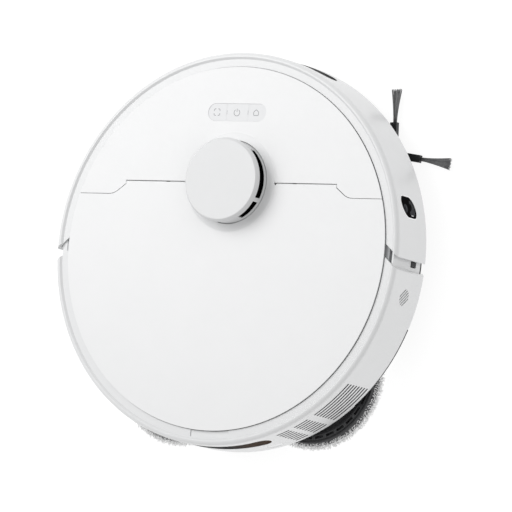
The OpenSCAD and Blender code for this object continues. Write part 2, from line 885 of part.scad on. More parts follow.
// Right-hand mop motor: can, neck and the lug on its guide rod
module mop_motor() {
    translate([mop_x, mop_y, 0])
        difference() {
            union() {
                disc(17.5, mop_motor_z[0], mop_motor_z[1]);
                disc(10, 29, mop_motor_z[0]);
                block([-5, 5], [-27, -12], [mop_motor_z[0], mop_motor_z[0] + 6]);
            }
            disc(mop_spindle_r + fit, 28, 50);
            translate([0, -23, 0]) disc(2.5 + fit, mop_motor_z[0] - 1, mop_motor_z[0] + 7);
        }
}

module mop_motor_right() color("#55585c") mop_motor();
module mop_motor_left() color("#55585c") sided(-1) mop_motor();

// Profile of a mop holder: a dished plate with two thin rims and a band of slots between them
module holder_profile() {
    top = holder_z[1];
    web = holder_z[0] + 2.4;
    r = mop_r - 4.2;
    polygon([[0, holder_z[0]], [r, holder_z[0]], [r, top - 0.9], [r - 0.5, top - 0.4], [r - 1.3, top - 0.4],
        [r - 1.8, top - 1.4], [r - 2.4, top - 1.4], [r - 2.9, top], [r - 7, top],
        [r - 8.4, top - 0.6], [r - 11, web], [0, web]]);
}

// Right-hand mop holder: plate with a band of slots, hub and spindle
module mop_holder() {
    translate([mop_x, mop_y, 0])
        union() {
            difference() {
                rotate_extrude($fn = 120) holder_profile();
                for (i = [0 : slot_count - 1])
                    rotate(i * 360 / slot_count)
                        block([mop_r - 10.4, mop_r - 8], [-4, 4], [holder_z[0] + 0.8, holder_z[1] + 1]);
            }
            disc(14, holder_z[0], 25.5);
            disc(mop_spindle_r, 25, 48);
        }
}

module mop_holder_right() color("#2c2d30") mop_holder();
module mop_holder_left() color("#2c2d30") sided(-1) mop_holder();

module mop_pad() {
    translate([mop_x, mop_y, 0]) disc(mop_r, pad_z[0], pad_z[1]);
}

module mop_pad_right() color("#b9bcbe") mop_pad();
module mop_pad_left() color("#b9bcbe") sided(-1) mop_pad();

// ---- drive ----

// Right-hand wheel housing: a shell open at the bottom, with the outer pivot ear
module wheel_housing() {
    difference() {
        union() {
            block([105, 135.6], [-37.8, 47.8], [floor_top, 74]);
            block([92.8, 108], [-13.6, 63.5], [floor_top, 52]);
        }
        block([106.4, 134], [-36.2, 46.2], [floor_top - 1, 72.6]);
        block([94.4, 106.5], [-12, 62], [floor_top - 1, 50.4]);
        block([105, 110.6], [43, 47], [floor_top - 1, 50.4]);
        rod_x(motor_can_r + 0.6, [92, 95], pivot_y, pivot_z);
        rod_x(arm_pin_r + fit, [100, 112], pivot_y, pivot_z);
    }
}

module wheel_housing_right() color("#37393c") wheel_housing();
module wheel_housing_left() color("#37393c") sided(-1) wheel_housing();

// Right-hand drive arm: gear case, motor can on the pivot line, pivot pins and wheel axle
module drive_arm() {
    translate([arm_x[0], pivot_y, pivot_z])
        rotate([90, 0, 90])
            linear_extrude(arm_x[1] - arm_x[0])
                union() {
                    circle(r = 12);
                    rotate(arm_tilt) translate([arm_len, 0]) circle(r = 11.5);
                    rotate(arm_tilt) translate([0, -9.5]) square([arm_len, 19]);
                }
    rod_x(motor_can_r, [65, arm_x[0] + 1], pivot_y, pivot_z);
    rod_x(arm_pin_r, [60.2, 66], pivot_y, pivot_z);
    rod_x(arm_pin_r, [arm_x[1] - 1, 107.8], pivot_y, pivot_z);
    rod_x(axle_r, [arm_x[1] - 1, wheel_x + 6], wheel_y, wheel_r);
}

module drive_arm_right() color("#4a4d51") drive_arm();
module drive_arm_left() color("#4a4d51") sided(-1) drive_arm();

// Right-hand wheel: hub with spokes and a rim under the tyre
module wheel() {
    x0 = wheel_x - wheel_w / 2;
    x1 = wheel_x + wheel_w / 2;
    difference() {
        union() {
            difference() {
                rod_x(wheel_r - 6, [x0 + 1, x1 - 1], wheel_y, wheel_r);
                rod_x(wheel_r - 9, [x1 - 8, x1], wheel_y, wheel_r);
            }
            rod_x(9, [x0 + 1, x1 - 2], wheel_y, wheel_r);
            for (i = [0 : 5])
                translate([x1 - 9, wheel_y, wheel_r])
                    rotate([i * 60, 0, 0])
                        translate([0, -2, 0])
                            cube([6, 4, wheel_r - 7]);
        }
        rod_x(axle_r + fit, [x0 - 1, wheel_x + 7], wheel_y, wheel_r);
    }
}

module wheel_right() color("#3b3d40") wheel();
module wheel_left() color("#3b3d40") sided(-1) wheel();

// Right-hand tyre with cross grooves
module tyre() {
    x0 = wheel_x - wheel_w / 2;
    x1 = wheel_x + wheel_w / 2;
    difference() {
        rod_x(wheel_r, [x0, x1], wheel_y, wheel_r);
        rod_x(wheel_r - 6, [x0 - 1, x1 + 1], wheel_y, wheel_r);
        for (i = [0 : 23])
            translate([0, wheel_y, wheel_r])
                rotate([i * 15 + 7.5, 0, 0])
                    block([x0 - 1, x1 + 1], [-1, 1], [wheel_r - 1.5, wheel_r + 1]);
    }
}

module tyre_right() color("#1d1e1f") tyre();
module tyre_left() color("#1d1e1f") sided(-1) tyre();

module suspension_springs() color("#b9bbbd") {
    both_sides()
        for (i = [0 : 3])
            translate([100.5, 20, 45.2 + i * 1.4])
                rotate_extrude()
                    translate([4, 0]) circle(r = 0.6, $fn = 16);
}

module caster_fork() color("#4a4d51") {
    translate([0, caster_y, 0])
        difference() {
            union() {
                disc(21.5, 10, 33);
                disc(4, 32, 46.5);
            }
            rod_x(caster_r + 1.6, [-7, 7], -caster_trail, caster_r);
            block([-7, 7], [-caster_trail - caster_r - 1.6, -caster_trail + caster_r + 1.6], [9, caster_r]);
        }
    rod_x(2, [-8, 8], caster_y - caster_trail, caster_r);
}

module caster_wheel() color("#202123") {
    difference() {
        rod_x(caster_r, [-6, 6], caster_y - caster_trail, caster_r);
        rod_x(2 + fit, [-7, 7], caster_y - caster_trail, caster_r);
        for (s = [-1, 1]) rod_x(8, [s * 6 - 1, s * 6 + 1], caster_y - caster_trail, caster_r);
    }
}

// ---- fasteners ----

module screw(z0) {
    difference() {
        union() {
            disc(3, z0 + 0.6, z0 + 3);
            disc(1.5, z0 + 2, z0 + 10);
        }
        for (a = [0, 90]) rotate(a) block([-1.8, 1.8], [-0.4, 0.4], [z0, z0 + 1.8]);
    }
}

module screws() color("#9a9c9e") {
    for (p = screw_spots) translate(p) screw(belly_z);
    for (p = rear_screw_spots) translate(p) screw(bay_z);
}

base_plate();
mid_frame();
rear_shell();
front_panel();
lid();
hinge_pins();
turret_collar();
lidar_base();
lidar_head();
lidar_motor();
lidar_belt();
turret_cover();
power_key();
spot_key();
home_key();
key_board();
dust_bin();
bin_cover();
filter();
fan_motor();
main_board();
battery();
battery_cover();
brush_housing();
brush_guard();
brush_motor();
brush_core();
brush_vanes();
side_brush_motor();
side_brush_hub();
side_brush_tufts();
bumper();
bumper_springs();
bumper_switches();
bumper_windows();
rear_window();
charging_contacts();
speaker();
cliff_sensors();
water_tank();
water_pump();
mop_lift_motor();
mop_motor_left();
mop_motor_right();
mop_holder_left();
mop_holder_right();
mop_pad_left();
mop_pad_right();
wheel_housing_left();
wheel_housing_right();
drive_arm_left();
drive_arm_right();
wheel_left();
wheel_right();
tyre_left();
tyre_right();
suspension_springs();
caster_fork();
caster_wheel();
screws();
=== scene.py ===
"""Looks of the robot vacuum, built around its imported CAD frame."""
import json
import math
import random

import bmesh
import bpy
from mathutils import Matrix, Vector

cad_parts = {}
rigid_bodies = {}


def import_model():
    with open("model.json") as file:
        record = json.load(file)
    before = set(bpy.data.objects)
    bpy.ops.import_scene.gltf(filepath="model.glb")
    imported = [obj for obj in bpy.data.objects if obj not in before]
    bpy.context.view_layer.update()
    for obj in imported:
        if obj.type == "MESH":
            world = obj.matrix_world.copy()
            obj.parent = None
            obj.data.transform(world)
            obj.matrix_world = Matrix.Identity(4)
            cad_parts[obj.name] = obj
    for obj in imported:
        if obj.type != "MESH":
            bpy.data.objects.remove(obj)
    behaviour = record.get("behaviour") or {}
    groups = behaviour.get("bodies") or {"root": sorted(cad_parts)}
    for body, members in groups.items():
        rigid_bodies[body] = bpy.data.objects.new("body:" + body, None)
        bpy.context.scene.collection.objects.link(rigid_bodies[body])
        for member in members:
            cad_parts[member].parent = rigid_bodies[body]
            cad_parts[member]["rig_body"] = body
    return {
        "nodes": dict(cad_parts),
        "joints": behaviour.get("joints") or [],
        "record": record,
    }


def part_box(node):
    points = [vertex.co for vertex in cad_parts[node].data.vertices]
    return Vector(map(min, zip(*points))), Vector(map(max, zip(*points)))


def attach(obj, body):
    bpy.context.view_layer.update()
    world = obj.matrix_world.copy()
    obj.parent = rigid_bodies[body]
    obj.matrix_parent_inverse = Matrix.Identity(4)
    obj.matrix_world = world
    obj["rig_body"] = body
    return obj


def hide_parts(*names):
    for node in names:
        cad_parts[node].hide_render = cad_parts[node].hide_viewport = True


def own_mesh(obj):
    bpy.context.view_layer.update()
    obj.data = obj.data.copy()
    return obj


MM = 0.001
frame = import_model()
nodes = frame["nodes"]
joints = {row["name"]: row for row in frame["joints"]}
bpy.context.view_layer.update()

# Driving places, read from the frame
DECK_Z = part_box("lid")[1].z
BODY_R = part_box("bumper")[1].y
KEY_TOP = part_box("power_key")[1].z
PILL_Y = (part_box("power_key")[0].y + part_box("power_key")[1].y) / 2
BASE_BODY = nodes["base_plate"]["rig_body"]

# Camera: azimuth, elevation and roll in degrees, then metres and the lens in millimetres
CAMERA_TURN = (77.954, 58.449, -74.566)
CAMERA_AIM = (0.0274, -0.0068)        # right and up of the middle of the deck
CAMERA_DISTANCE = 8.814
CAMERA_LENS = 703.2

# Studio: metres and watts
KEY_PLACE = (-0.75, 0.65, 1.45)
KEY_SIZE = 1.2
KEY_WATTS = 15
SKY_STRENGTH = 0.6
FLOOR_HALF = 3.0


# ---- camera, floor and light ----

def look_axes(azimuth, elevation, roll):
    """Right, up and back axes of a camera that looks at the origin, all angles in degrees."""
    az, el, ro = (math.radians(a) for a in (azimuth, elevation, roll))
    back = Vector((math.sin(az) * math.cos(el), -math.cos(az) * math.cos(el), math.sin(el)))
    right = Vector((0, 0, 1)).cross(back).normalized()
    up = back.cross(right)
    return right * math.cos(ro) + up * math.sin(ro), up * math.cos(ro) - right * math.sin(ro), back


def add_camera():
    """A long lens, high on the robot's right and a little behind it, rolled so that its front is up."""
    right, up, back = look_axes(*CAMERA_TURN)
    cam = bpy.data.objects.new("camera", bpy.data.cameras.new("camera"))
    bpy.context.scene.collection.objects.link(cam)
    axes = Matrix((right, up, back)).transposed().to_4x4()
    aim = Vector((0, 0, DECK_Z)) + right * CAMERA_AIM[0] + up * CAMERA_AIM[1]
    cam.matrix_world = Matrix.Translation(aim + back * CAMERA_DISTANCE) @ axes
    cam.data.sensor_width = 36
    cam.data.lens = CAMERA_LENS
    cam.data.clip_end = 60
    bpy.context.scene.camera = cam


def add_area(name, place, target, size, watts):
    light = bpy.data.lights.new(name, "AREA")
    light.shape = "SQUARE"
    light.size = size
    light.energy = watts
    obj = bpy.data.objects.new(name, light)
    obj.location = place
    obj.rotation_euler = (Vector(target) - Vector(place)).to_track_quat("-Z", "Y").to_euler()
    bpy.context.scene.collection.objects.link(obj)


def add_studio():
    world = bpy.data.worlds.new("studio")
    bpy.context.scene.world = world
    world.use_nodes = True
    world.node_tree.nodes["Background"].inputs["Color"].default_value = (1, 1, 1, 1)
    world.node_tree.nodes["Background"].inputs["Strength"].default_value = SKY_STRENGTH
    add_area("key", KEY_PLACE, (0, 0, 0), KEY_SIZE, KEY_WATTS)
    bpy.context.scene.view_settings.view_transform = "Standard"
    half = FLOOR_HALF
    corners = [(-half, -half, 0), (half, -half, 0), (half, half, 0), (-half, half, 0)]
    floor = make_object("floor", corners, [(0, 1, 2, 3)], "floor")


# ---- materials ----

def new_material(name):
    mat = bpy.data.materials.new(name)
    mat.use_nodes = True
    tree = mat.node_tree
    return mat, tree, tree.nodes["Principled BSDF"]


def millimetres(tree, stretch=(1, 1, 1)):
    """Object coordinates in millimetres, stretched along an axis for grain."""
    coord = tree.nodes.new("ShaderNodeTexCoord")
    scale = tree.nodes.new("ShaderNodeVectorMath")
    scale.operation = "MULTIPLY"
    scale.inputs[1].default_value = tuple(1000 * s for s in stretch)
    tree.links.new(coord.outputs["Object"], scale.inputs[0])
    return scale.outputs[0]


def noise(tree, coords, scale, detail=3.0, rough=0.55):
    tex = tree.nodes.new("ShaderNodeTexNoise")
    tex.inputs["Scale"].default_value = scale
    tex.inputs["Detail"].default_value = detail
    tex.inputs["Roughness"].default_value = rough
    tree.links.new(coords, tex.inputs["Vector"])
    return tex.outputs["Fac"]


def spread(tree, value, low, high, start=0.3, end=0.7):
    """Maps a value between start and end to the range low to high."""
    rng = tree.nodes.new("ShaderNodeMapRange")
    rng.inputs["From Min"].default_value = start
    rng.inputs["From Max"].default_value = end
    rng.inputs["To Min"].default_value = low
    rng.inputs["To Max"].default_value = high
    tree.links.new(value, rng.inputs["Value"])
    return rng.outputs["Result"]


def blend_colours(tree, factor, first, second):
    mix = tree.nodes.new("ShaderNodeMix")
    mix.data_type = "RGBA"
    mix.inputs["A"].default_value = (*first, 1)
    mix.inputs["B"].default_value = (*second, 1)
    tree.links.new(factor, mix.inputs["Factor"])
    return mix.outputs["Result"]


def bump(tree, bsdf, height, distance_mm, strength=1.0):
    node = tree.nodes.new("ShaderNodeBump")
    node.inputs["Distance"].default_value = distance_mm * MM
    node.inputs["Strength"].default_value = strength
    tree.links.new(height, node.inputs["Height"])
    tree.links.new(node.outputs["Normal"], bsdf.inputs["Normal"])


def shade(colour, factor):
    return tuple(min(c * factor, 1) for c in colour)


def plastic(name, colour, rough, grain_mm, relief_mm, vary=0.03, coat=0.0, gloss=0.5):
    """Moulded plastic: fine moulding grain, a little mottling and uneven gloss."""
    mat, tree, bsdf = new_material(name)
    mm = millimetres(tree)
    mottle = spread(tree, noise(tree, mm, 0.035), 0, 1)
    tree.links.new(blend_colours(tree, mottle, shade(colour, 1 - vary), colour), bsdf.inputs["Base Color"])
    tree.links.new(spread(tree, noise(tree, mm, 0.3), rough * 0.88, rough * 1.12), bsdf.inputs["Roughness"])
    bump(tree, bsdf, noise(tree, mm, 1 / grain_mm, 2), relief_mm)
    bsdf.inputs["Specular IOR Level"].default_value = gloss
    bsdf.inputs["Coat Weight"].default_value = coat
    bsdf.inputs["Coat Roughness"].default_value = 0.12
    return mat


def metal(name, colour, rough, stretch):
    """Drawn or turned metal, with fine lines along one axis."""
    mat, tree, bsdf = new_material(name)
    lines = noise(tree, millimetres(tree, stretch), 4.0, 4)
    bsdf.inputs["Metallic"].default_value = 1
    tree.links.new(blend_colours(tree, lines, shade(colour, 0.86), colour), bsdf.inputs["Base Color"])
    tree.links.new(spread(tree, lines, rough * 0.75, rough * 1.25), bsdf.inputs["Roughness"])
    bump(tree, bsdf, lines, 0.01)
    return mat


def rubber(name, colour):
    """Matt rubber with a dusty bloom and a coarse skin."""
    mat, tree, bsdf = new_material(name)
    mm = millimetres(tree)
    dust = spread(tree, noise(tree, mm, 0.12, 5), 0, 1)
    tree.links.new(blend_colours(tree, dust, colour, shade(colour, 1.8)), bsdf.inputs["Base Color"])
    tree.links.new(spread(tree, noise(tree, mm, 1.1), 0.62, 0.85), bsdf.inputs["Roughness"])
    bump(tree, bsdf, noise(tree, mm, 2.4), 0.05)
    return mat


def cloth(name, light, dark, yarn_mm, relief_mm, painted_glow=0.0):
    """Yarn or paper fibre: pale strands with darker ones between, a soft sheen, and an optional painted glow:
    emission in the pale colour that brightens the yarn though it is no lamp.
    """
    mat, tree, bsdf = new_material(name)
    mm = millimetres(tree)
    fibres = noise(tree, mm, 1 / yarn_mm, 4)
    tree.links.new(blend_colours(tree, spread(tree, fibres, 0, 1, 0.36, 0.58), dark, light),
                   bsdf.inputs["Base Color"])
    bsdf.inputs["Roughness"].default_value = 0.9
    bsdf.inputs["Sheen Weight"].default_value = 0.3
    bsdf.inputs["Sheen Roughness"].default_value = 0.5
    # painted glow: emission in the pale colour, so the yarn looks lit in the shade
    bsdf.inputs["Emission Color"].default_value = (*light, 1)
    bsdf.inputs["Emission Strength"].default_value = painted_glow
    bump(tree, bsdf, noise(tree, mm, 4 / yarn_mm, 3), relief_mm)
    return mat


def trim(name):
    """White trim with a painted glow: a small emission that makes it brighter than the wall round it, though it
    is no lamp.
    """
    mat = plastic(name, (0.88, 0.88, 0.885), 0.3, 0.4, 0.004, 0.02, 0.2)
    bsdf = mat.node_tree.nodes["Principled BSDF"]
    # painted glow: emission that brightens the trim as light would
    bsdf.inputs["Emission Color"].default_value = (1, 1, 1, 1)
    bsdf.inputs["Emission Strength"].default_value = 0.12
    return mat


def smoked(name, dark, warm):
    """Smoked window: black on one side of the middle, with a warm cast towards its other end."""
    mat, tree, bsdf = new_material(name)
    mm = millimetres(tree)
    across = tree.nodes.new("ShaderNodeSeparateXYZ")
    tree.links.new(mm, across.inputs[0])
    cast = tree.nodes.new("ShaderNodeMath")
    cast.operation = "MULTIPLY"
    tree.links.new(spread(tree, across.outputs["X"], 0, 1, 10, 34), cast.inputs[0])
    tree.links.new(spread(tree, noise(tree, mm, 0.35, 4), 0.25, 1), cast.inputs[1])
    tree.links.new(blend_colours(tree, cast.outputs[0], dark, warm), bsdf.inputs["Base Color"])
    tree.links.new(spread(tree, noise(tree, mm, 0.3), 0.35, 0.45), bsdf.inputs["Roughness"])
    bump(tree, bsdf, noise(tree, mm, 0.25, 2), 0.003)
    bsdf.inputs["Specular IOR Level"].default_value = 0.004
    return mat


def floor_paint(name):
    """Lit white studio floor."""
    mat, tree, bsdf = new_material(name)
    mm = millimetres(tree)
    tree.links.new(blend_colours(tree, noise(tree, mm, 0.01), (0.19, 0.19, 0.19), (0.2, 0.2, 0.2)),
                   bsdf.inputs["Base Color"])
    bsdf.inputs["Emission Color"].default_value = (1, 1, 1, 1)
    bsdf.inputs["Emission Strength"].default_value = 0.9
    bsdf.inputs["Roughness"].default_value = 0.8
    bump(tree, bsdf, noise(tree, mm, 0.5), 0.02)
    return mat


def circuit(name):
    """Green solder mask with rows of copper tracks under it."""
    mat, tree, bsdf = new_material(name)
    brick = tree.nodes.new("ShaderNodeTexBrick")
    brick.inputs["Scale"].default_value = 0.35
    brick.inputs["Mortar Size"].default_value = 0.03
    brick.inputs["Color1"].default_value = (0.02, 0.16, 0.08, 1)
    brick.inputs["Color2"].default_value = (0.03, 0.2, 0.1, 1)
    brick.inputs["Mortar"].default_value = (0.25, 0.36, 0.14, 1)
    tree.links.new(millimetres(tree), brick.inputs["Vector"])
    tree.links.new(brick.outputs["Color"], bsdf.inputs["Base Color"])
    bsdf.inputs["Roughness"].default_value = 0.35
    bump(tree, bsdf, brick.outputs["Fac"], 0.05)
    return mat


def make_materials():
    return {
        "shell_white": plastic("shell_white", (0.80, 0.805, 0.81), 0.36, 0.35, 0.004, 0.015, 0.15),
        "panel_white": plastic("panel_white", (0.85, 0.853, 0.858), 0.36, 0.3, 0.003, 0.012, 0.1),
        "key_grey": plastic("key_grey", (0.80, 0.805, 0.815), 0.42, 0.3, 0.005, 0.02),
        "chassis_dark": plastic("chassis_dark", (0.022, 0.0225, 0.024), 0.5, 0.5, 0.02, 0.2, gloss=0.35),
        "frame_grey": plastic("frame_grey", (0.52, 0.53, 0.54), 0.45, 0.6, 0.015, 0.05),
        "black_window": plastic("black_window", (0.003, 0.003, 0.0035), 0.4, 4.0, 0.003, 0.3, gloss=0.004),
        "brown_window": smoked("brown_window", (0.002, 0.002, 0.002), (0.075, 0.045, 0.028)),
        "dark_part": plastic("dark_part", (0.03, 0.031, 0.033), 0.45, 0.6, 0.02, 0.2, gloss=0.35),
        "bin_grey": plastic("bin_grey", (0.16, 0.165, 0.18), 0.2, 1.0, 0.006, 0.1, 0.4),
        "bin_cover_grey": plastic("bin_cover_grey", (0.38, 0.39, 0.41), 0.4, 0.5, 0.012, 0.06),
        "filter_paper": cloth("filter_paper", (0.82, 0.8, 0.74), (0.66, 0.63, 0.56), 1.2, 0.05),
        "motor_can": metal("motor_can", (0.58, 0.59, 0.6), 0.3, (0.1, 1, 1)),
        "steel": metal("steel", (0.66, 0.67, 0.68), 0.25, (1, 1, 0.2)),
        "circuit_green": circuit("circuit_green"),
        "battery_blue": plastic("battery_blue", (0.05, 0.16, 0.36), 0.28, 1.5, 0.05, 0.1, 0.3),
        "brush_vane": rubber("brush_vane", (0.075, 0.08, 0.085)),
        "bristle": plastic("bristle", (0.24, 0.24, 0.245), 0.4, 0.4, 0.01, 0.4),
        "tank_grey": plastic("tank_grey", (0.32, 0.36, 0.4), 0.18, 1.5, 0.01, 0.06, 0.3),
        "contact_metal": metal("contact_metal", (0.78, 0.79, 0.8), 0.16, (1, 1, 0.1)),
        # the last argument, 0.2, is a painted glow: emission that lights the pad loops in the shade under the
        # body
        "mop_cloth": cloth("mop_cloth", (0.97, 0.97, 0.97), (0.55, 0.555, 0.56), 1.4, 0.03, 0.2),
        "felt_grey": cloth("felt_grey", (0.2, 0.2, 0.205), (0.07, 0.07, 0.073), 0.9, 0.05),
        "holder_grey": plastic("holder_grey", (0.06, 0.061, 0.064), 0.45, 0.6, 0.02, 0.15),
        "cap_white": plastic("cap_white", (0.745, 0.75, 0.755), 0.36, 0.3, 0.003, 0.012, 0.1),
        "tyre_rubber": rubber("tyre_rubber", (0.022, 0.022, 0.024)),
        "belt_rubber": rubber("belt_rubber", (0.016, 0.016, 0.016)),
        "icon_grey": plastic("icon_grey", (0.36, 0.365, 0.375), 0.4, 0.3, 0.003, 0.05),
        "lens_glass": plastic("lens_glass", (0.012, 0.013, 0.018), 0.3, 2.0, 0.002, 0.3, gloss=0.06),
        "sensor_grey": plastic("sensor_grey", (0.045, 0.046, 0.05), 0.4, 0.5, 0.01, 0.15, gloss=0.02),
        # trim with a painted glow, for the bead round the side window
        "trim_white": trim("trim_white"),
        "screen_grey": plastic("screen_grey", (0.045, 0.045, 0.048), 0.5, 0.5, 0.02, 0.2, gloss=0.1),
        "floor": floor_paint("floor"),
    }


# Nodes whose finish differs a little from the rest of their slot
OWN_MATERIALS = {"mop_holder_left": "holder_grey", "mop_holder_right": "holder_grey",
                 "turret_cover": "cap_white"}


def paint_frame():
    """Gives every CAD node the procedural material of its slot."""
    for row in frame["record"]["subparts"]:
        mesh = nodes[row["node"]].data
        mesh.materials.clear()
        mesh.materials.append(MATERIALS[OWN_MATERIALS.get(row["node"], row["material_slot"])])


# ---- mesh work ----

def make_object(name, verts, faces, material, smooth=False):
    mesh = bpy.data.meshes.new(name)
    mesh.from_pydata([tuple(v) for v in verts], [], faces)
    mesh.materials.append(MATERIALS[material])
    if smooth:
        mesh.shade_smooth()
    obj = bpy.data.objects.new(name, mesh)
    bpy.context.scene.collection.objects.link(obj)
    return obj


def place(obj, body, slot, *replaced):
    """Puts a piece on its body and hides the CAD nodes that it stands for. The material slot is not used."""
    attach(obj, body)
    if replaced:
        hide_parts(*replaced)
    return obj


class Skin:
    """Collects lofts and strips, in metres, and turns them into one object."""

    def __init__(self):
        self.verts = []
        self.faces = []

    def loft(self, rings, capped=True, round_trip=False):
        """Skins a row of rings that have the same number of points."""
        first = len(self.verts)
        size = len(rings[0])
        for ring in rings:
            self.verts.extend(ring)
        count = len(rings) if round_trip else len(rings) - 1
        for k in range(count):
            low = first + k * size
            high = first + (k + 1) % len(rings) * size
            for i in range(size):
                j = (i + 1) % size
                self.faces.append((low + i, low + j, high + j, high + i))
        if capped and not round_trip:
            last = first + (len(rings) - 1) * size
            self.faces.append(tuple(first + i for i in reversed(range(size))))
            self.faces.append(tuple(last + i for i in range(size)))

    def tube(self, path, radii, across, sides=3):
        """Tube along a path that lies in the plane whose normal is across."""
        rings = []
        for k, point in enumerate(path):
            ahead = (path[min(k + 1, len(path) - 1)] - path[max(k - 1, 0)]).normalized()
            up = ahead.cross(across).normalized()
            turns = [2 * math.pi * i / sides for i in range(sides)]
            rings.append([point + (across * math.cos(t) + up * math.sin(t)) * radii[k] for t in turns])
        self.loft(rings)

    def stroke(self, points, width, low, high, closed=False):
        """Flat line of a given width in plan, between two heights; points are (x, y)."""
        rings = []
        count = len(points)
        for k, point in enumerate(points):
            before = points[k - 1] if closed or k > 0 else points[k]
            after = points[(k + 1) % count] if closed or k < count - 1 else points[k]
            ahead = Vector((after[0] - before[0], after[1] - before[1], 0)).normalized()
            out = Vector((-ahead.y, ahead.x, 0)) * width / 2
            mid = Vector((point[0], point[1], 0))
            up, down = Vector((0, 0, high)), Vector((0, 0, low))
            rings.append([mid - out + down, mid + out + down, mid + out + up, mid - out + up])
        self.loft(rings, round_trip=closed)

    def build(self, name, material, smooth=True):
        obj = make_object(name, self.verts, self.faces, material, smooth)
        tidy_normals(obj.data)
        return obj


def tidy_normals(mesh):
    form = bmesh.new()
    form.from_mesh(mesh)
    bmesh.ops.recalc_face_normals(form, faces=form.faces)
    form.to_mesh(mesh)
    form.free()


# Width of each shell's rounded edges, in millimetres
SOFT_EDGES = {"rear_shell": 0.35, "bumper": 0.35, "front_panel": 0.25, "lid": 0.25, "turret_cover": 0.2,
              "turret_collar": 0.12, "power_key": 0.04, "spot_key": 0.04, "home_key": 0.04}
WELD_MM = 0.012                       # vertices closer than this become one
FLAT_DEG = 0.6                        # faces that meet at less than this become one
SHARP_DEG = 38                        # edges over this angle are rounded
SMOOTH_DEG = 30                       # edges over this angle stay sharp in the shading


def soften(node, width_mm):
    """A copy of a CAD node with its sharp edges rounded, which stands for the node."""
    source = nodes[node]
    mesh = source.data.copy()
    mesh.name = node + "_shell"
    obj = bpy.data.objects.new(node + "_shell", mesh)
    bpy.context.scene.collection.objects.link(obj)
    form = bmesh.new()
    form.from_mesh(mesh)
    bmesh.ops.remove_doubles(form, verts=form.verts, dist=WELD_MM * MM)
    bmesh.ops.dissolve_limit(form, angle_limit=math.radians(FLAT_DEG), verts=form.verts, edges=form.edges)
    sharp = [e for e in form.edges
             if len(e.link_faces) == 2 and e.calc_face_angle(0) > math.radians(SHARP_DEG)]
    bmesh.ops.bevel(form, geom=sharp, offset=width_mm * MM, segments=2, profile=0.5,
                    affect="EDGES", clamp_overlap=True)
    for face in form.faces:
        face.smooth = True
    for edge in form.edges:
        edge.smooth = len(edge.link_faces) != 2 or edge.calc_face_angle(0) < math.radians(SMOOTH_DEG)
    form.to_mesh(mesh)
    form.free()
    weigh_normals(obj)
    return place(obj, source["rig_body"], material_slot(node), node)


def weigh_normals(obj):
    """Keeps wide faces flat up to their rounded edges."""
    weighted = obj.modifiers.new("weighted", "WEIGHTED_NORMAL")
    weighted.keep_sharp = True
    weighted.weight = 100
    graph = bpy.context.evaluated_depsgraph_get()
    baked = bpy.data.meshes.new_from_object(obj.evaluated_get(graph))
    baked.name = obj.name
    obj.modifiers.clear()
    obj.data = baked


def material_slot(node):
    return next(row["material_slot"] for row in frame["record"]["subparts"] if row["node"] == node)


# ---- mop pads ----

PAD_STEPS = 120


def pad_backing(skin, centre, radius, low, high, rnd):
    """Felt backing: a crowned disc with a soft round edge."""
    profile = [(0.12, low + 1.6), (0.5, low + 1.4), (0.8, low + 1.3), (0.94, low + 1.5), (0.982, low + 2.6),
               (0.988, low + 4.2), (0.972, high - 0.5), (0.945, high), (0.5, high)]
    rings = []
    for share, z in profile:
        wobble = [rnd.uniform(-0.18, 0.18) for _ in range(PAD_STEPS)]
        ring = []
        for i in range(PAD_STEPS):
            turn = 2 * math.pi * i / PAD_STEPS
            r = radius * share + wobble[i] * MM * (share > 0.9)
            ring.append(centre + Vector((r * math.cos(turn), r * math.sin(turn), z * MM)))
        rings.append(ring)
    skin.loft(rings)


def pile_loop(skin, root, out, lean, tall, wide, thick, rnd):
    """One loop of yarn that rises along out and comes back, tipped over by lean."""
    side = out.cross(Vector((rnd.uniform(-1, 1), rnd.uniform(-1, 1), rnd.uniform(-1, 1)))).normalized()
    across = side.cross(out).normalized()
    path = []
    for k in range(5):
        turn = math.pi * k / 4
        rise = math.sin(turn)
        path.append(root + side * (-math.cos(turn) * wide / 2) + out * (rise * tall) + lean * rise * rise)
    skin.tube(path, [thick] * 5, across)


# Rows of fringe loops, in millimetres and degrees: inset, drop, tilt, height and count
FRINGE_ROWS = ((4.2, 0.0, 62, 1.7, 170), (3.2, 0.2, 48, 2.1, 210), (2.0, 0.6, 28, 2.7, 240),
               (1.4, 1.7, 8, 3.0, 250), (1.4, 3.1, -12, 2.8, 240), (1.6, 4.5, -32, 2.3, 220))
FRINGE_REACH = 2.4                    # past the pad's CAD solid
PILE_LOOPS = 2300
PILE_TURN = 2.399963                  # radians from one loop of the pile to the next


